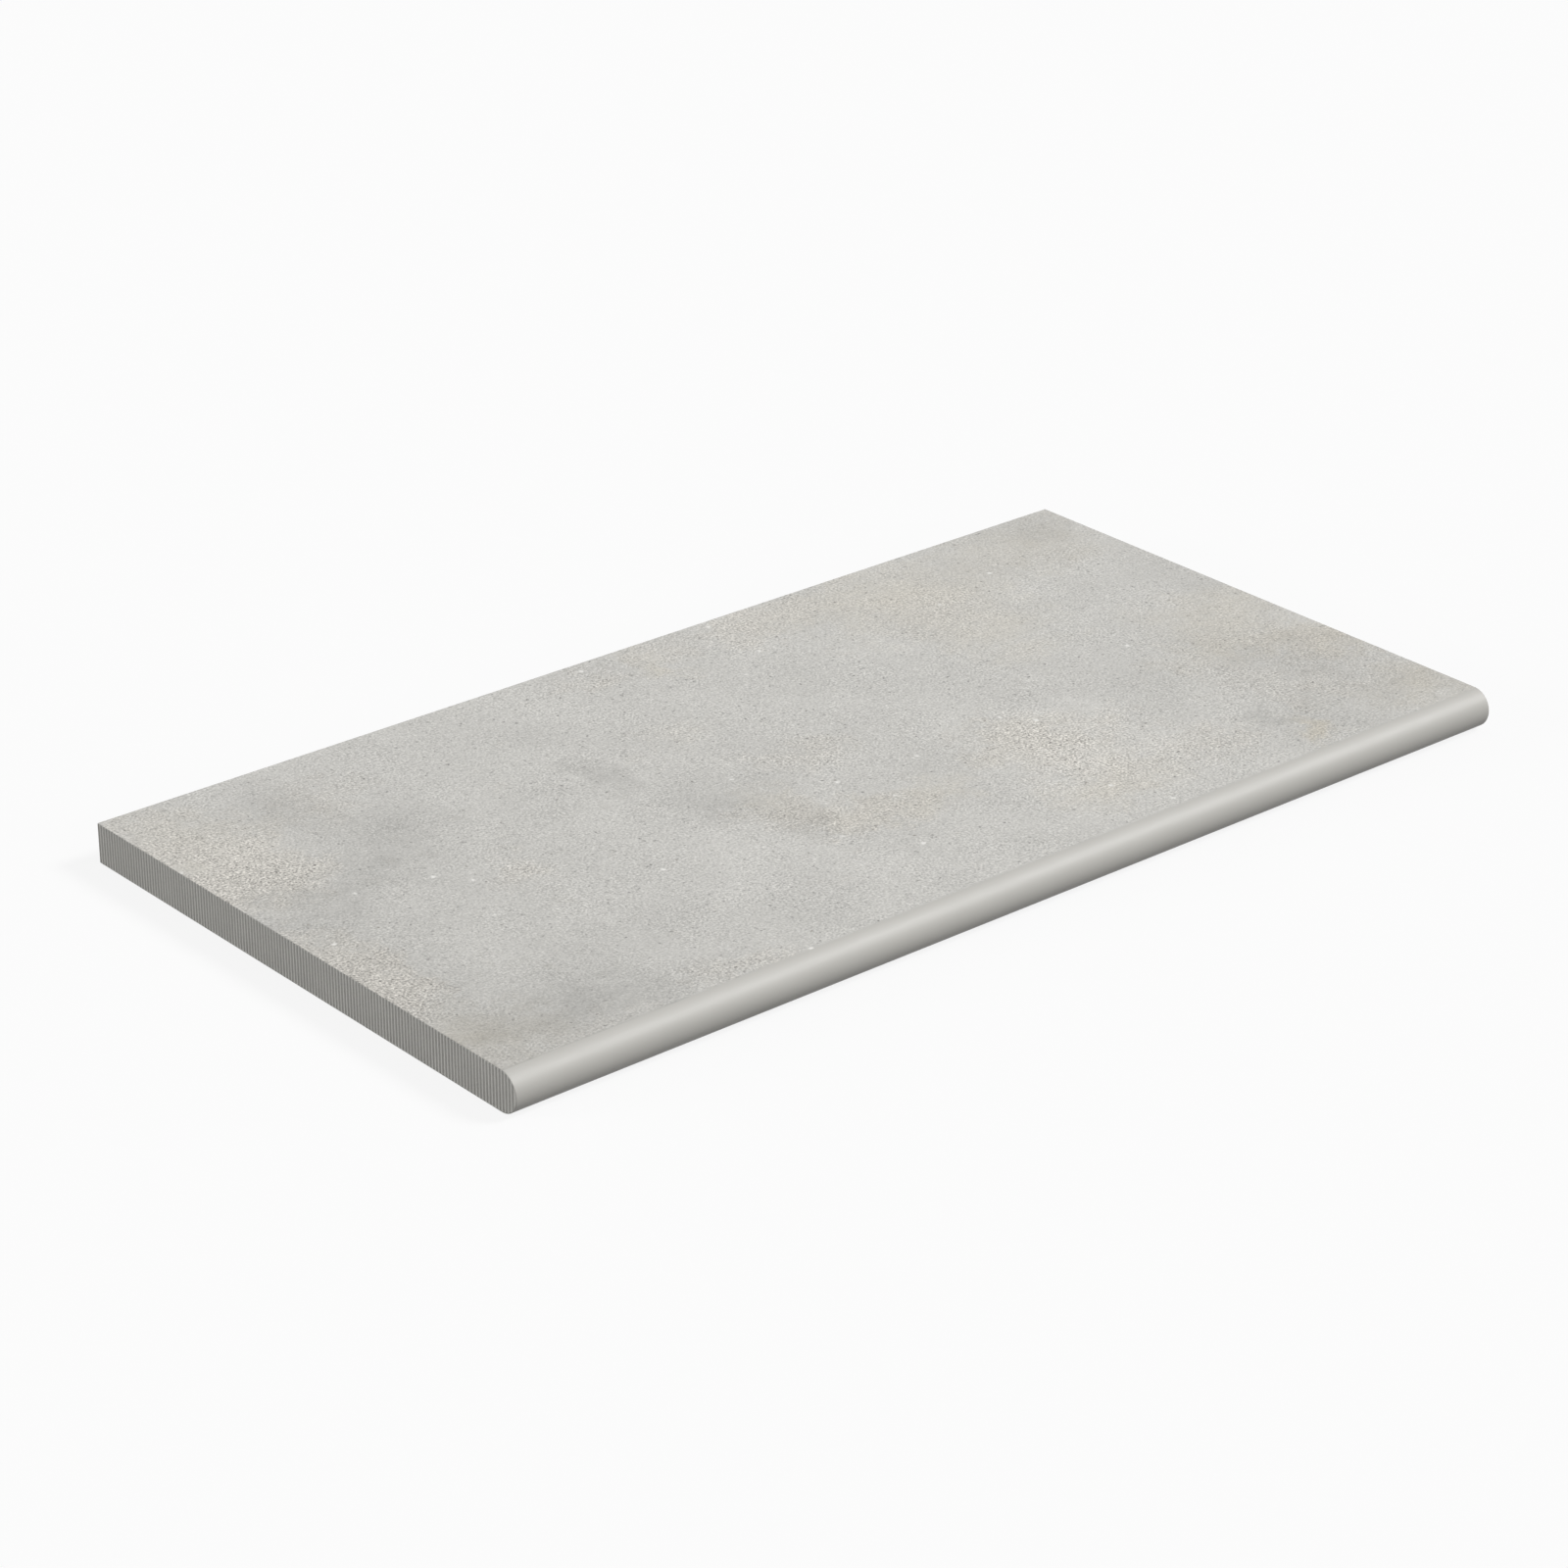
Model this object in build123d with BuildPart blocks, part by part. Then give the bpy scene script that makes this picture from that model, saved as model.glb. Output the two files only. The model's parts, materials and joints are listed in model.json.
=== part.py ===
"""Bullnose pool coping stone, fired in one piece.

A flat porcelain slab whose pool side is a full half-round nose. It lies on its bedding face:
X runs along the pool edge, the nose points to -Y and Z is up. The origin is on the bedding
plane, under the middle of the slab.
"""

import os

from build123d import *

# Driving dimensions, in millimetres
length = 600.0  # end to end, along the pool edge
width = 318.0  # from the back edge to the tip of the nose
thickness = 20.5  # from the bedding face to the walking face
arris = 0.5  # bevel that eases each sharp edge

# The nose is a full half-round, so the thickness sets where its curve begins
nose_depth = thickness / 2
nose_tip_y = -width / 2
nose_start_y = nose_tip_y + nose_depth
back_y = width / 2

with BuildPart() as coping_stone:
    # Section across the pool edge
    with BuildSketch(Plane.YZ) as section:
        with BuildLine() as outline:
            walking_face = Line((back_y, thickness), (nose_start_y, thickness))
            nose = TangentArc(walking_face @ 1, (nose_start_y, 0), tangent=walking_face % 1)
            bedding_face = Line(nose @ 1, (back_y, 0))
            Line(bedding_face @ 1, walking_face @ 0)
        make_face()
    extrude(amount=length / 2, both=True)

    # The nose runs smoothly into both faces along two seams, and every other edge is sharp
    nose_face = coping_stone.faces().filter_by(GeomType.CYLINDER)
    nose_seams = nose_face.edges().filter_by(Axis.X)
    chamfer(coping_stone.edges() - nose_seams, length=arris)

coping_stone.part.label = "coping_stone"

os.makedirs("parts", exist_ok=True)
export_step(coping_stone.part, "parts/coping_stone.step")
print(f"coping_stone: {coping_stone.part.volume / 1e6:.3f} litres")
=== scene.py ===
# %% [markdown]
# # A bullnose pool coping stone
# A coping stone caps the rim of a swimming pool. This one is a flat slab of porcelain stoneware
# with a half-round nose on the side that faces the water. The slab's sizes come from a fixed
# frame, so this lesson is about what the eye meets: the shape that catches the light, and the
# four finishes that one fired piece can wear.

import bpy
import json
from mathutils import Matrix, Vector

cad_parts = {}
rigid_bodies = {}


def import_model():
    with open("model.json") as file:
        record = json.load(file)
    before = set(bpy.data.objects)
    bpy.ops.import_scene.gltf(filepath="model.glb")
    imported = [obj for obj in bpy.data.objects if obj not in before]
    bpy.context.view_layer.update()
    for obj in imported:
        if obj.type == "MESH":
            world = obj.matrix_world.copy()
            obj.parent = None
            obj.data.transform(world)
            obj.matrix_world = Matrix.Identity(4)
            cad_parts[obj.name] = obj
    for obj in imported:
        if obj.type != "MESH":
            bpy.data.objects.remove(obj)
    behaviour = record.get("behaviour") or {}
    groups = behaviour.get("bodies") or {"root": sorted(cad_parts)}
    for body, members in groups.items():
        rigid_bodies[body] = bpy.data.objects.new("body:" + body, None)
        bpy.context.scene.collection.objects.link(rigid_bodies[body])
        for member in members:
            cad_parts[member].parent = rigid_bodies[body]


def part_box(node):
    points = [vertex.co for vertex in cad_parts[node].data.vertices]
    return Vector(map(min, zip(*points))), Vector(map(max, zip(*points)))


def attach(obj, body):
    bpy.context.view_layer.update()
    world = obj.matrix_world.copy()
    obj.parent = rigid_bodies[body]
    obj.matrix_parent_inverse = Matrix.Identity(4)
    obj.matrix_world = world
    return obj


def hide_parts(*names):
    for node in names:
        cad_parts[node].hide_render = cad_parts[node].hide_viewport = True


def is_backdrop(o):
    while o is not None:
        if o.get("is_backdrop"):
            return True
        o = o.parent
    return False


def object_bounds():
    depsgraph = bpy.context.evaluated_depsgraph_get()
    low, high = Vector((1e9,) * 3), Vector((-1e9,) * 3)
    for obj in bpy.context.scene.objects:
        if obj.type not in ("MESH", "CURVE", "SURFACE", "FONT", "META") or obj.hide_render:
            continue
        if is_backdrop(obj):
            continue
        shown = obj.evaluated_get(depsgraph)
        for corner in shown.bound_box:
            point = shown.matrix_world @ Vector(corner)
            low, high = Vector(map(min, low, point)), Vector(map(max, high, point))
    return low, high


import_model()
cad_low, cad_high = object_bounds()

# %% [markdown]
# ## Sizes
# The stone lies on its bedding face: X runs along the pool edge, the nose points to -Y and Z is
# up. Blender works in metres here, and a stone is easier to think of in millimetres, so one name
# turns the small sizes round.

# %% Sizes of the stone
import math

import bmesh
import bpy
from mathutils import Vector

mm = 0.001
low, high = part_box("coping_stone")
middle = (low + high) / 2
length, width, thickness = high - low
print(f"the stone is {length / mm:.1f} x {width / mm:.1f} x {thickness / mm:.1f} mm")

# %% [markdown]
# ## The block and its nose
# The nose is the skilled part of a real coping: it is ground to a full half-round, so that nobody
# scrapes a hand or a knee on the rim. A spin could draw it, but a bevel is shorter. The slab
# starts as a cube at its own size, and both long edges at the front are bevelled by half the
# thickness. The two quarter rounds then meet at the tip, where their doubled line is merged.
# The steps are a function, because the flutes need the same outline once more, drawn in a little.

# %% A block with a full half-round nose
nose_steps = 24
merge_distance = 0.001 * mm


def select_edges(piece, test):
    """Select the edges of the piece under edit that pass a test, and count them."""
    bpy.ops.mesh.select_all(action="DESELECT")
    mesh = bmesh.from_edit_mesh(piece.data)
    chosen = [edge for edge in mesh.edges if test(edge)]
    for edge in chosen:
        edge.select_set(True)
    bmesh.update_edit_mesh(piece.data)
    return len(chosen)


def nosed_block(name, size):
    """A block of this size round the stone's middle, with a half-round front, left in edit mode."""
    bpy.ops.object.select_all(action="DESELECT")
    bpy.ops.mesh.primitive_cube_add(size=1, location=middle)
    block = bpy.context.object
    block.name = name
    block.scale = size
    bpy.ops.object.transform_apply(location=True, rotation=False, scale=True)

    def front_long_edge(edge):
        start, end = (corner.co for corner in edge.verts)
        return max(start.y, end.y) < middle.y and abs(start.x - end.x) > length / 2

    bpy.ops.object.mode_set(mode="EDIT")
    bpy.ops.mesh.select_mode(type="EDGE")
    rounded = select_edges(block, front_long_edge)
    bpy.ops.mesh.bevel(offset=size.z / 2, segments=nose_steps, profile=0.5)
    bpy.ops.mesh.select_all(action="SELECT")
    bpy.ops.mesh.remove_doubles(threshold=merge_distance)
    print(name, "has", rounded, "edges rounded into a nose")
    return block


stone = nosed_block("coping_stone_dressed", Vector((length, width, thickness)))

# %% [markdown]
# ## The arrises
# A sharp ceramic edge chips, so each one is eased by half a millimetre. It is too small to see as
# a shape, but it keeps the edges of the finished stone from looking like cut paper. The edges are
# found by their angle: the steps of the nose are too gentle to be chosen.

# %% Eased edges
arris = 0.5 * mm
arris_steps = 4
sharp_angle = math.radians(45)

bpy.ops.mesh.select_all(action="DESELECT")
bpy.ops.mesh.edges_select_sharp(sharpness=sharp_angle)
bpy.ops.mesh.bevel(offset=arris, segments=arris_steps, profile=0.5)
bpy.ops.mesh.select_all(action="SELECT")
bpy.ops.mesh.normals_make_consistent(inside=False)
bpy.ops.object.mode_set(mode="OBJECT")
print("eased block with", len(stone.data.polygons), "faces")

# %% [markdown]
# ## One groove of the fluted ends
# The ends carry fine upright flutes that grip the grout of the joint. They could be painted with
# bump, but a real groove throws a real shadow and is there in the mesh. One groove is modelled as
# a bar. Its inner face is drawn in, so that the walls of the groove lean.

# %% The bar that cuts one groove
flute_pitch = 2.216 * mm
groove_depth = 0.45 * mm
groove_floor = 0.5 * mm
groove_mouth = 1.5 * mm
bar_overhang = 0.1 * mm
facing = 0.7  # share of a normal along an axis that counts as looking that way

lean = (groove_mouth - groove_floor) / groove_depth
bar_width = groove_mouth + lean * bar_overhang
bar_middle_x = low.x + (groove_depth - bar_overhang) / 2
first_groove = Vector((bar_middle_x, high.y - flute_pitch / 2, middle.z))

bpy.ops.object.select_all(action="DESELECT")
bpy.ops.mesh.primitive_cube_add(size=1, location=first_groove)
bars = bpy.context.object
bars.name = "groove_bars"
bars.scale = (groove_depth + bar_overhang, bar_width, 2 * thickness)
bpy.ops.object.transform_apply(location=True, rotation=False, scale=True)

bpy.ops.object.mode_set(mode="EDIT")
bpy.ops.mesh.select_mode(type="FACE")
bpy.ops.mesh.select_all(action="DESELECT")
bar_mesh = bmesh.from_edit_mesh(bars.data)
for face in bar_mesh.faces:
    face.select_set(face.normal.x > facing)
bmesh.update_edit_mesh(bars.data)
bpy.ops.transform.resize(value=(1, groove_floor / bar_width, 1), center_override=first_groove)
bpy.ops.object.mode_set(mode="OBJECT")
print(f"one groove, {groove_mouth / mm:.2f} mm at its mouth and {groove_floor / mm:.2f} mm at its floor")

# %% [markdown]
# ## A row of grooves that stops short of the edge
# An Array repeats the bar along the end and a Mirror gives the other end the same. If the bars
# ran right through, they would nick the edge into a row of teeth. So they are first cut to the
# end's own outline, drawn in by a hair, nose and all: that is a Boolean intersection with a
# smaller block. It is longer than the stone, because the bars stand out of its ends.

# %% Rows of bars for both ends
groove_count = int(width / flute_pitch)
groove_stop = 0.2 * mm


def apply_modifier(piece, name, kind, **settings):
    """Give a piece a modifier with these settings and apply it."""
    bpy.ops.object.select_all(action="DESELECT")
    piece.select_set(True)
    bpy.context.view_layer.objects.active = piece
    modifier = piece.modifiers.new(name, kind)
    for setting, value in settings.items():
        setattr(modifier, setting, value)
    bpy.ops.object.modifier_apply(modifier=modifier.name)


apply_modifier(bars, "row", "ARRAY", count=groove_count, use_relative_offset=False,
               use_constant_offset=True, constant_offset_displace=(0, -flute_pitch, 0))
apply_modifier(bars, "other end", "MIRROR")
inset = Vector((4 * bar_overhang, -2 * groove_stop, -2 * groove_stop))
outline = nosed_block("inset_outline", Vector((length, width, thickness)) + inset)
bpy.ops.object.mode_set(mode="OBJECT")
apply_modifier(bars, "inside the edge", "BOOLEAN",
               operation="INTERSECT", solver="EXACT", object=outline)
bpy.data.objects.remove(outline)
print(groove_count, "bars at each end")

# %% [markdown]
# ## Both ends fluted
# One Boolean difference now cuts all the grooves. The bars have done their work and are removed.

# %% The cut
apply_modifier(stone, "flutes", "BOOLEAN", operation="DIFFERENCE", solver="EXACT", object=bars)
bpy.data.objects.remove(bars)
print("fluted stone with", len(stone.data.polygons), "faces")

# %% [markdown]
# ## Smooth where it is round
# The nose has to shade as one curve and the flats have to stay flat. Smoothing by angle does the
# first, and weighted normals do the second: at the seam, the large flat face decides. A count of
# open edges then shows whether the cuts left the stone closed.

# %% Shading
smooth_angle = math.radians(32)

bpy.ops.object.shade_smooth_by_angle(angle=smooth_angle)
apply_modifier(stone, "flat faces first", "WEIGHTED_NORMAL", keep_sharp=True)

litre = (100 * mm) ** 3
closed = bmesh.new()
closed.from_mesh(stone.data)
open_edges = [edge for edge in closed.edges if not edge.is_manifold]
print("open edges:", len(open_edges), "volume:", round(closed.calc_volume() / litre, 3), "litres")
closed.free()

# %% [markdown]
# ## Sums with nodes
# A finish is a small graph of nodes. These helpers let the graph read like a sum: they make
# nodes, feed them with numbers or with other nodes, and hand back an output. A socket knows
# which tree it belongs to, so the tree need not be passed along.

# %% Helpers for numbers and colours
def tree_of(*values):
    """The node tree of the first of these values that is a socket."""
    return next(value.id_data for value in values if isinstance(value, bpy.types.NodeSocket))


def feed(socket, value):
    """Give a socket a plain value, or link it to another node's output."""
    if isinstance(value, bpy.types.NodeSocket):
        socket.id_data.links.new(value, socket)
    else:
        socket.default_value = value


def fill(node, *values):
    """Feed a node's sockets in their order."""
    for socket, value in zip(node.inputs, values):
        feed(socket, value)


def calc(operation, *values):
    """A Math node."""
    node = tree_of(*values).nodes.new("ShaderNodeMath")
    node.operation = operation
    fill(node, *values)
    return node.outputs["Value"]


def calc_vector(operation, *values, result="Vector"):
    """A Vector Math node."""
    node = tree_of(*values).nodes.new("ShaderNodeVectorMath")
    node.operation = operation
    fill(node, *values)
    return node.outputs[result]


def add_up(start, *parts):
    """A start value plus each part times its weight."""
    total = start
    for part, weight in parts:
        total = calc("MULTIPLY_ADD", part, weight, total)
    return total


def spread(value, old, new, smooth=False):
    """A Map Range node that carries one range of values to another, and stops at its ends."""
    node = tree_of(value).nodes.new("ShaderNodeMapRange")
    node.interpolation_type = "SMOOTHSTEP" if smooth else "LINEAR"
    fill(node, value, *old, *new)
    return node.outputs["Result"]


def blend(share, first, second):
    """A Mix node for two colours."""
    node = tree_of(share).nodes.new("ShaderNodeMix")
    node.data_type = "RGBA"
    sockets = {socket.identifier: socket for socket in node.inputs}
    feed(sockets["Factor_Float"], share)
    feed(sockets["A_Color"], first)
    feed(sockets["B_Color"], second)
    return next(socket for socket in node.outputs if socket.identifier == "Result_Color")


def lighten(colour, level):
    """A colour made lighter or darker by a number."""
    node = tree_of(colour, level).nodes.new("ShaderNodeVectorMath")
    node.operation = "SCALE"
    feed(node.inputs["Vector"], colour)
    feed(node.inputs["Scale"], level)
    return node.outputs["Vector"]


number_helpers = (calc, calc_vector, add_up, spread, blend, lighten)
print("helpers:", ", ".join(helper.__name__ for helper in number_helpers))

# %% [markdown]
# ## Patterns in millimetres
# Every finish starts from the place on the stone, in millimetres, so that a size in a recipe is a
# size on the stone. Noise is centred on nought: it can then be weighed and added without making
# the whole stone lighter or darker.

# %% Helpers for patterns
in_millimetres = (1000, 1000, 1000)


def new_finish(name, specular, scale=in_millimetres):
    """A material with one Principled shader, and the place on the stone in millimetres."""
    material = bpy.data.materials.new(name)
    material.use_nodes = True
    tree = material.node_tree
    shader = tree.nodes["Principled BSDF"]
    shader.inputs["Specular IOR Level"].default_value = specular
    position = tree.nodes.new("ShaderNodeTexCoord")
    place = calc_vector("MULTIPLY", position.outputs["Object"], scale)
    return material, shader, place


def axis(place, name):
    """One coordinate of a place."""
    parts = tree_of(place).nodes.new("ShaderNodeSeparateXYZ")
    feed(parts.inputs["Vector"], place)
    return parts.outputs[name]


def noise_node(place, size, detail, roughness):
    """A Noise node whose largest features are about this many millimetres wide."""
    node = tree_of(place).nodes.new("ShaderNodeTexNoise")
    feed(node.inputs["Vector"], place)
    feed(node.inputs["Scale"], 1 / size)
    feed(node.inputs["Detail"], detail)
    feed(node.inputs["Roughness"], roughness)
    return node


def noise(place, size, detail=2.0, roughness=0.5):
    """Noise of this size, centred on nought."""
    return calc("SUBTRACT", noise_node(place, size, detail, roughness).outputs["Fac"], 0.5)


def raise_grain(shader, height, depth):
    """Bump a finish by a height that stands for this depth."""
    bump = tree_of(height).nodes.new("ShaderNodeBump")
    feed(bump.inputs["Distance"], depth)
    feed(bump.inputs["Height"], height)
    feed(shader.inputs["Normal"], bump.outputs["Normal"])


pattern_helpers = (new_finish, axis, noise, raise_grain)
print("helpers:", ", ".join(helper.__name__ for helper in pattern_helpers))

# %% [markdown]
# ## Where the walking face changes
# The walking face imitates cast concrete. It has damp-looking grey clouds, pale blooms, patches
# where the skin is worn to a coarse cream sand, and faint tan stains. Noise alone would scatter
# them anywhere, so each is laid down as a soft oval at its place. A negative strength bites a
# piece out of the ovals around it. A round gradient texture could draw each oval, but so many
# textures overflow the small stack of a shader, and it renders black. Lengths of vectors don't.

# %% Spots on the walking face
from collections import namedtuple

# Centre and half sizes along and across the stone in millimetres, and strength
Spot = namedtuple("Spot", "x y along across strength")

damp_spots = [
    Spot(-280, 0, 240, 300, 0.22),
    Spot(-224, 124, 32, 54, 0.6),
    Spot(-206, 58, 44, 36, 0.55),
    Spot(-246, 34, 52, 32, 0.65),
    Spot(-286, 12, 46, 32, 0.4),
    Spot(-284, -56, 36, 44, 0.35),
    Spot(-284, -128, 104, 48, 1.1),
    Spot(-202, -130, 54, 28, 0.5),
    Spot(-122, -122, 50, 44, 0.22),
    Spot(-214, -86, 76, 40, 0.25),
    Spot(-88, 46, 18, 30, 0.7),
    Spot(-72, -14, 22, 26, 0.5),
    Spot(-50, -46, 20, 30, 0.85),
    Spot(-52, 12, 60, 38, 0.4),
    Spot(-112, 98, 44, 44, 0.2),
    Spot(40, -34, 70, 40, 0.2),
    Spot(160, -18, 36, 26, 0.3),
    Spot(222, -40, 70, 50, 0.3),
    Spot(272, -64, 60, 32, 0.65),
    Spot(290, 40, 50, 110, 0.25),
    Spot(264, -118, 104, 52, 0.6),
    Spot(188, -110, 16, 14, 0.6),
    Spot(264, 138, 60, 36, 0.5),
    Spot(-16, 142, 60, 30, 0.2),
]
pale_spots = [
    Spot(-98, -60, 56, 42, 0.6),
    Spot(112, -36, 46, 26, 0.8),
    Spot(98, -84, 66, 40, 0.8),
    Spot(-32, -116, 78, 32, 0.4),
    Spot(232, 78, 50, 36, 0.3),
    Spot(-284, 76, 44, 66, 0.4),
]
worn_spots = [
    Spot(-288, 76, 56, 66, 1.3),
    Spot(-297, 82, 16, 12, -2.0),
    Spot(-298, -48, 30, 62, 1.5),
    Spot(98, -56, 62, 44, 0.75),
    Spot(106, -104, 66, 46, 0.5),
    Spot(-54, -36, 34, 30, 0.6),
    Spot(-24, -62, 44, 28, 0.6),
    Spot(-28, 144, 32, 18, 0.6),
    Spot(24, 146, 32, 16, 0.5),
    Spot(164, 88, 48, 46, 0.5),
    Spot(-165, -145, 46, 16, 0.6),
    Spot(-183, -2, 26, 22, 0.6),
    Spot(0, 6, 36, 34, 0.6),
    Spot(212, -58, 28, 52, 0.4),
    Spot(-284, 146, 34, 26, 0.5),
    Spot(-208, 118, 46, 44, 0.5),
    Spot(-40, 60, 36, 30, 0.5),
    Spot(88, 142, 50, 28, 0.7),
    Spot(158, -102, 34, 34, 0.5),
    Spot(242, -100, 38, 36, 0.65),
    Spot(282, -58, 40, 40, 0.65),
    Spot(-240, -146, 36, 20, 0.5),
]
tan_spots = [
    Spot(-286, 96, 58, 78, 1.1),
    Spot(-296, -24, 24, 34, 0.9),
    Spot(-292, -124, 56, 46, 1.2),
    Spot(-54, -22, 26, 26, 1.0),
    Spot(-34, -52, 26, 26, 1.1),
    Spot(2, -66, 48, 22, 1.1),
    Spot(88, -52, 50, 28, 0.8),
    Spot(92, -112, 50, 36, 1.1),
    Spot(200, -124, 14, 18, 1.8),
    Spot(286, -58, 32, 26, 2.2),
    Spot(236, -40, 52, 36, 0.9),
    Spot(268, -4, 60, 52, 1.0),
    Spot(158, 112, 74, 70, 1.2),
    Spot(168, 46, 50, 44, 0.7),
    Spot(96, 142, 60, 30, 0.8),
    Spot(8, 132, 22, 26, 1.0),
    Spot(256, 128, 66, 44, 0.9),
    Spot(284, -128, 46, 44, 1.2),
]


def spots(place, drawn):
    """The summed strength of some spots: full at each centre and nothing past its rim."""
    total = 0.0
    for spot in drawn:
        shrink = (1 / spot.along, 1 / spot.across, 0)
        shift = (-spot.x / spot.along, -spot.y / spot.across, 0)
        oval = calc_vector("MULTIPLY_ADD", place, shrink, shift)
        reach = calc_vector("LENGTH", oval, result="Value")
        total = calc("ADD", spread(reach, (0, 1), (spot.strength, 0)), total)
    return total


print(len(damp_spots + pale_spots + worn_spots + tan_spots), "spots laid down")

# %% [markdown]
# ## Frayed rims and single grains
# An oval with a smooth rim looks like a sticker. A ragged shift of the coordinates frays it until
# it looks grown. The same shift, much smaller, turns the round cells of a Voronoi texture into
# chips of stone. Each cell has a random colour, which decides how light its grain is, or whether
# it is there at all.

# %% Helpers for frayed places and grains
def ragged(place, size, reach, detail=4.0):
    """The place, shifted by up to this many millimetres by noise of this size."""
    wander = noise_node(place, size, detail, roughness=0.65).outputs["Color"]
    centred = calc_vector("SUBTRACT", wander, (0.5, 0.5, 0.5))
    return calc_vector("MULTIPLY_ADD", centred, (2 * reach, 2 * reach, 0), place)


def grains(place, spacing, core, rim):
    """Grains, one to a cell: 1 inside the core and 0 past the rim, and a random tone for each."""
    tree = tree_of(place)
    cells = tree.nodes.new("ShaderNodeTexVoronoi")
    feed(cells.inputs["Vector"], place)
    feed(cells.inputs["Scale"], 1 / spacing)
    chance = tree.nodes.new("ShaderNodeSeparateColor")
    feed(chance.inputs["Color"], cells.outputs["Color"])
    near = spread(cells.outputs["Distance"], (core / spacing, rim / spacing), (1, 0))
    return near, chance.outputs["Red"]


def flecks(place, spacing, radius, kept):
    """Scattered grains: only this share of the cells has one."""
    near, chance = grains(place, spacing, core=0.5 * radius, rim=1.3 * radius)
    return calc("MULTIPLY", near, calc("LESS_THAN", chance, kept))


grain_helpers = (ragged, grains, flecks)
print("helpers:", ", ".join(helper.__name__ for helper in grain_helpers))

# %% [markdown]
# ## Sand
# Sand about a millimetre across covers the walking face. It is noise of two sizes, stronger in
# some zones, and where the skin is worn it more than doubles in contrast. A few grains stand out
# from it. They are picked by a power of their random tone: the power is high, so that most
# grains stay plain, and odd, so that the dark ones stay dark.

# %% Sand of the walking face
zone_contrast = (0.8, 1.75)
worn_contrast = 1.7
darkest_grain = -1.10
grain_tones = 2.0
grain_power = 5.0


def loose_sand(place, worn):
    """Sand of two sizes with a few odd grains, for a place and how worn it is."""
    fine = noise(place, size=1.24, detail=1.0, roughness=0.6)
    coarse = noise(place, size=4.5, detail=2.0, roughness=0.6)
    chips = ragged(place, size=1.6, reach=1.2, detail=1.0)
    near, chance = grains(chips, spacing=1.9, core=0.35, rim=1.0)
    odd = calc("POWER", add_up(darkest_grain, (chance, grain_tones)), grain_power)
    speckle = calc("MULTIPLY", odd, near)
    zones = spread(noise(place, size=38), (-0.2, 0.2), zone_contrast)
    even = add_up(0.0, (fine, 0.78), (coarse, 0.23))
    strong = calc("MULTIPLY", even, add_up(zones, (worn, worn_contrast)))
    return add_up(strong, (speckle, 0.28))


print("sand", zone_contrast, "strong by zones, and", worn_contrast, "more where it is worn")

# %% [markdown]
# ## The walking face
# The face is a warm light grey, clouded over several centimetres, with a few white flecks and
# dark pits. The worn patches turn to cream. The sand also feeds the bump and the roughness,
# because on the real stone it can be felt: it is what keeps a wet foot from slipping. Towards
# the nose it is ground away, and it fades out where the round begins.

# %% Finish of the walking face
concrete_grey = (0.540, 0.531, 0.505, 1)
tan_stain = (0.555, 0.524, 0.458, 1)
worn_cream = (0.540, 0.520, 0.481, 1)
white_fleck = (0.74, 0.73, 0.70, 1)
dark_pit = (0.26, 0.245, 0.22, 1)
concrete_level = 0.865
sand_roughness = (0.76, 0.66)
sand_depth = 0.09 * mm
from_above = (1000, 1000, 0)
nose_seam = low.y + thickness / 2
polish_start = nose_seam - 1.3 * mm
polish_fade = 1.5 * mm


def make_walking_face():
    """The concrete look of the face that is walked on."""
    material, shader, place = new_finish("walking_face", specular=0.35, scale=from_above)
    frayed = ragged(ragged(place, size=45, reach=40), size=9, reach=14)
    fray = noise(place, size=16, detail=5.0, roughness=0.7)
    worn = spread(add_up(spots(frayed, worn_spots), (fray, 1.0)), (0.1, 0.8), (0, 1))
    fade = (polish_start / mm, (polish_start + polish_fade) / mm)
    unground = spread(axis(place, "Y"), fade, (0, 1))
    sand = calc("MULTIPLY", loose_sand(place, worn), unground)

    # Clouds, damp and pale spots set how light it is, and the damp also quietens the sand
    clouds = noise(place, size=50, detail=5.0, roughness=0.65)
    damp = calc("MULTIPLY", spots(frayed, damp_spots), add_up(1.0, (fray, 2.0)))
    pale = spots(frayed, pale_spots)
    quiet = calc("MULTIPLY", sand, add_up(1.0, (damp, -0.45)))
    ground = add_up(concrete_level, (unground, 0.09), (quiet, 1.0))
    level = add_up(ground, (clouds, 0.30), (damp, -0.20), (pale, 0.11))

    # Stains and wear set the tint, and flecks and pits are laid over it
    stain = spread(add_up(spots(frayed, tan_spots), (fray, 1.2)), (0.1, 1.8), (0, 1))
    tint = blend(worn, blend(stain, concrete_grey, tan_stain), worn_cream)
    colour = lighten(tint, level)
    chipped = ragged(place, size=2.5, reach=1.5, detail=2.0)
    colour = blend(flecks(chipped, spacing=12, radius=1.3, kept=0.10), colour, white_fleck)
    colour = blend(flecks(chipped, spacing=11, radius=0.8, kept=0.10), colour, dark_pit)

    feed(shader.inputs["Base Color"], colour)
    feed(shader.inputs["Roughness"], spread(sand, (-0.25, 0.25), sand_roughness))
    raise_grain(shader, sand, sand_depth)
    return material


walking_face = make_walking_face()
print("walking face:", len(walking_face.node_tree.nodes), "nodes")

# %% [markdown]
# ## The nose
# The nose is ground and sealed, so it is plain and carries a soft gloss: a band of light runs
# along it. Only faint clouds are left in its tone, which is a little darker where the round
# begins. The grinding wheel ran along the nose, so the fine marks in its gloss are noise that is
# drawn out along X.

# %% Finish of the nose
nose_grey = (0.450, 0.440, 0.412)
nose_roughness = 0.57
rim_width = 2.4 * mm
rim_level = 0.96
drawn_out = (0.04, 1, 1)
mark_depth = 0.004 * mm


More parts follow.
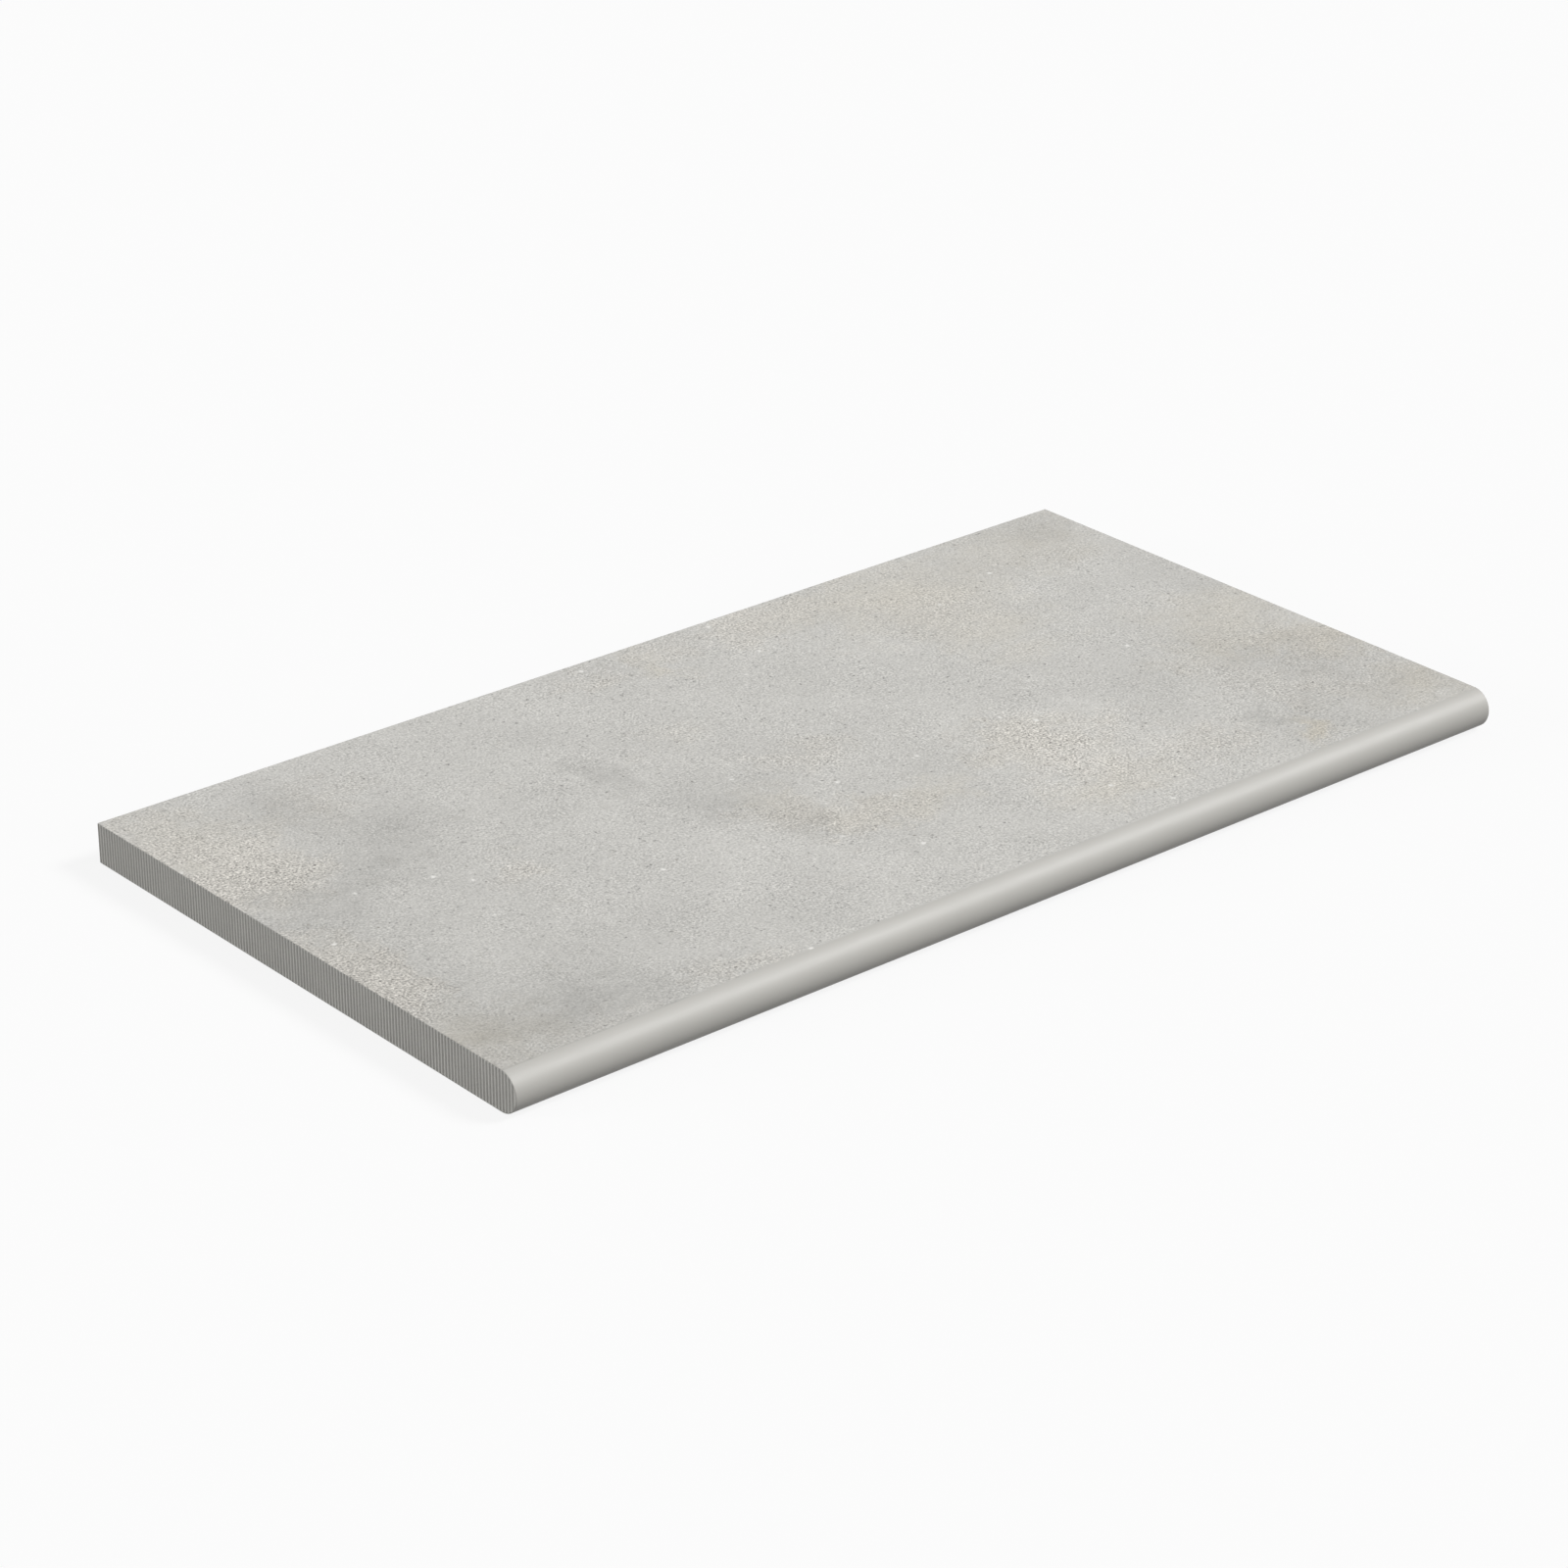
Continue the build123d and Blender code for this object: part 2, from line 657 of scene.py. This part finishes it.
def make_nose():
    """The plain, softly glossy half-round."""
    material, shader, place = new_finish("ground_nose", specular=0.7)
    clouds = noise(place, size=30, detail=3.0)
    rim_start = (polish_start - rim_width) / mm
    rim = spread(axis(place, "Y"), (rim_start, polish_start / mm), (1, rim_level))
    feed(shader.inputs["Base Color"], lighten(nose_grey, add_up(rim, (clouds, 0.05))))
    marks = noise(calc_vector("MULTIPLY", place, drawn_out), size=0.7, detail=3.0)
    feed(shader.inputs["Roughness"], add_up(nose_roughness, (marks, 0.12)))
    raise_grain(shader, marks, mark_depth)
    return material


ground_nose = make_nose()
print("nose:", len(ground_nose.node_tree.nodes), "nodes")

# %% [markdown]
# ## The ends
# The fluted ends show the fired body as it left the mould: matt and a little gritty. Their colour
# is darker down in the grooves and lighter on the ridges, a painted shade for the shadow in the
# grooves. How deep a place lies is read from X, because the ends stand square to it.

# %% Finish of the ends
end_grey = (0.653, 0.645, 0.611)
end_roughness = 0.82
groove_shade_levels = (0.80, 1.10)
grit_depth = 0.05 * mm


def make_fluted_end():
    """The gritty end faces, with painted shade darkening the grooves."""
    material, shader, place = new_finish("fluted_end", specular=0.25)
    grit = noise(place, size=0.8)
    clouds = noise(place, size=12, detail=3.0)
    outward = calc("ABSOLUTE", axis(place, "X"))
    ridge = high.x / mm
    # Painted shade: the colour darkens with the depth of a groove and lightens on the ridges
    groove_shade = spread(outward, (ridge - groove_depth / mm, ridge), groove_shade_levels)
    level = calc("MULTIPLY", groove_shade, add_up(1.0, (grit, 0.30), (clouds, 0.15)))
    feed(shader.inputs["Base Color"], lighten(end_grey, level))
    feed(shader.inputs["Roughness"], add_up(end_roughness, (grit, 0.2)))
    raise_grain(shader, grit, grit_depth)
    return material


fluted_end = make_fluted_end()
print("ends:", len(fluted_end.node_tree.nodes), "nodes")

# %% [markdown]
# ## The back edge and the underside
# These sides are bedded in mortar and never seen again, so nobody finishes them. They show the raw
# fired body: a gritty grey with a chalky bloom, the wash that keeps the stone from sticking to
# the rollers of the kiln.

# %% Finish of the back and the underside
body_grey = (0.50, 0.49, 0.455, 1)
kiln_wash = (0.63, 0.62, 0.59, 1)
body_roughness = 0.84
body_depth = 0.10 * mm


def make_fired_body():
    """The raw body with its chalky bloom."""
    material, shader, place = new_finish("fired_body", specular=0.25)
    grit = noise(place, size=1.2, detail=3.0, roughness=0.6)
    bloom = noise(place, size=55, detail=5.0, roughness=0.65)
    chalky = spread(add_up(bloom, (grit, 0.25)), (-0.12, 0.20), (0, 0.8), smooth=True)
    body = blend(chalky, body_grey, kiln_wash)
    feed(shader.inputs["Base Color"], lighten(body, add_up(1.0, (grit, 0.5))))
    feed(shader.inputs["Roughness"], add_up(body_roughness, (grit, 0.2)))
    raise_grain(shader, grit, body_depth)
    return material


fired_body = make_fired_body()
print("fired body:", len(fired_body.node_tree.nodes), "nodes")

# %% [markdown]
# ## Each finish on its faces
# All four finishes belong to one fired piece, so they share one mesh, and each face is given its
# finish by where it lies and which way it looks. The raw body goes everywhere first. The others
# are laid over it, and the ends come last. Half of the arris looks along the stone and belongs to
# the end, the other half to its neighbour. The little end walls of the grooves look inward, which
# tells them from the arris, and they belong to the end too.

# %% Finishes on the stone
def wear(finish, test):
    """Give a finish to the faces that pass a test, and say how many there are."""
    stone.data.materials.append(finish)
    slot = len(stone.data.materials) - 1
    chosen = [face for face in stone.data.polygons if test(face)]
    for face in chosen:
        face.material_index = slot
    print(finish.name, "on", len(chosen), "faces")


def part_of_end(face):
    """Whether a face belongs to a fluted end: it looks along the stone, or into a groove."""
    out = face.center - middle
    inward = out.y * face.normal.y + out.z * face.normal.z < 0
    return abs(face.center.x) > high.x - arris and (abs(face.normal.x) > facing or inward)


wear(fired_body, lambda face: True)
wear(ground_nose, lambda face: face.center.y < polish_start)
wear(walking_face, lambda face: face.normal.z > facing and face.center.y > polish_start)
wear(fluted_end, part_of_end)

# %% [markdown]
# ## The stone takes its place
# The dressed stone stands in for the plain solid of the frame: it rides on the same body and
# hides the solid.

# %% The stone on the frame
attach(stone, "root")
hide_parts("coping_stone")
print("dressed:", stone.name, "with", len(stone.data.materials), "finishes")

# %% [markdown]
# ## Studio sky
# Pale stone on a white ground needs light from everywhere, but a sky bright enough to look white
# would also bleach the stone. Light Path parts the two: what the camera or a reflection sees is
# white, while the light that reaches the stone stays at a plain level.

# %% Sky
sky_light = 0.34
backdrop_level = 0.965

scene = bpy.context.scene
scene.view_settings.view_transform = "Standard"


def seen_directly(tree):
    """1 for what the camera, a reflection or a clear surface shows, and 0 for light on its way."""
    path = tree.nodes.new("ShaderNodeLightPath")
    seen = calc("MAXIMUM", path.outputs["Is Camera Ray"], path.outputs["Is Glossy Ray"])
    return calc("MAXIMUM", seen, path.outputs["Is Transmission Ray"])


studio = bpy.data.worlds.new("studio")
scene.world = studio
studio.use_nodes = True
sky = studio.node_tree.nodes["Background"]
sky.inputs["Color"].default_value = (1, 1, 1, 1)
seen = seen_directly(studio.node_tree)
feed(sky.inputs["Strength"], spread(seen, (0, 1), (sky_light, backdrop_level)))
print("sky at", sky_light, "behind a backdrop at", backdrop_level)

# %% [markdown]
# ## Floor
# The floor has to melt into the white behind it and still keep the stone's shadow. So most of the
# brightness that is seen is a glow of its own, and only the rest is light that it catches and the
# stone can take away. The light that it throws back up under the nose is set by itself.

# %% Pale floor
floor_size = 40
floor_gap = 0.2 * mm
floor_pale = (0.09, 0.09, 0.09, 1)
floor_glow = 0.872
floor_bounce = (0.12, 0.12, 0.118, 1)

bpy.ops.object.select_all(action="DESELECT")
bpy.ops.mesh.primitive_plane_add(size=floor_size, location=(0, 0, low.z - floor_gap))
floor = bpy.context.object
floor.name = "studio_floor"
floor_finish = bpy.data.materials.new("pale_floor")
floor_finish.use_nodes = True
floor_shader = floor_finish.node_tree.nodes["Principled BSDF"]
floor_shader.inputs["Roughness"].default_value = 1.0
floor_shader.inputs["Specular IOR Level"].default_value = 0.0
floor_shader.inputs["Emission Color"].default_value = (1, 1, 1, 1)
shown = seen_directly(floor_finish.node_tree)
feed(floor_shader.inputs["Base Color"], blend(shown, floor_bounce, floor_pale))
feed(floor_shader.inputs["Emission Strength"], spread(shown, (0, 1), (0, floor_glow)))
floor.data.materials.append(floor_finish)
floor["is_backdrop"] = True
print("floor", floor_size, "m across")

# %% [markdown]
# ## Lamps
# One large soft key stands in front and to the right. Where the nose mirrors it towards the
# camera, the band of gloss appears, so its height decides where on the round that band lies. A
# fill from behind lifts the fluted end that the key doesn't reach, and a weak low lamp in front
# keeps the lower half of the nose from going dull.

# %% Key, fill and front lamp
def add_sun(name, direction, strength, softness):
    """A sun lamp that shines from a direction and looks this many degrees wide."""
    lamp = bpy.data.lights.new(name, "SUN")
    lamp.energy = strength
    lamp.angle = math.radians(softness)
    holder = bpy.data.objects.new(name, lamp)
    scene.collection.objects.link(holder)
    holder.rotation_euler = Vector(direction).to_track_quat("Z", "Y").to_euler()
    print(name, "lamp of strength", strength)


add_sun("key", direction=(0.60, -0.395, 0.696), strength=2.70, softness=18)
add_sun("fill", direction=(-0.83, 0.50, 0.25), strength=0.98, softness=20)
add_sun("front", direction=(0.15, -0.90, 0.40), strength=0.40, softness=20)

# %% [markdown]
# ## Camera
# The camera looks down on the stone from the left front, through a long lens that keeps the
# edges nearly parallel. Its place is given as a turn, a height and a distance from the point that
# it aims at, because those are what a photographer would change.

# %% Camera
camera_azimuth = math.radians(-40.35)
camera_elevation = math.radians(25.32)
camera_distance = 2.1365
camera_lens = 104.49
sensor_width = 36
aim = Vector((-0.0314, -0.0141, high.z))

away = Vector((
    math.sin(camera_azimuth) * math.cos(camera_elevation),
    -math.cos(camera_azimuth) * math.cos(camera_elevation),
    math.sin(camera_elevation),
))
camera_data = bpy.data.cameras.new("camera")
camera_data.lens = camera_lens
camera_data.sensor_width = sensor_width
camera = bpy.data.objects.new("camera", camera_data)
scene.collection.objects.link(camera)
camera.location = aim + away * camera_distance
camera.rotation_euler = (-away).to_track_quat("-Z", "Y").to_euler()
scene.camera = camera
print("camera at", [round(place, 3) for place in camera.location])

# %% [markdown]
# ## Last measure
# Dressing a stone must not change its size. The solid's box from the start is set against the
# dressed stone's box now, and the largest change of a corner is printed.

# %% Change of the stone's size
import json

low_now, high_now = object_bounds()
largest_change = max((low_now - cad_low).length, (high_now - cad_high).length)
print("largest change of a corner:", largest_change / mm, "mm")
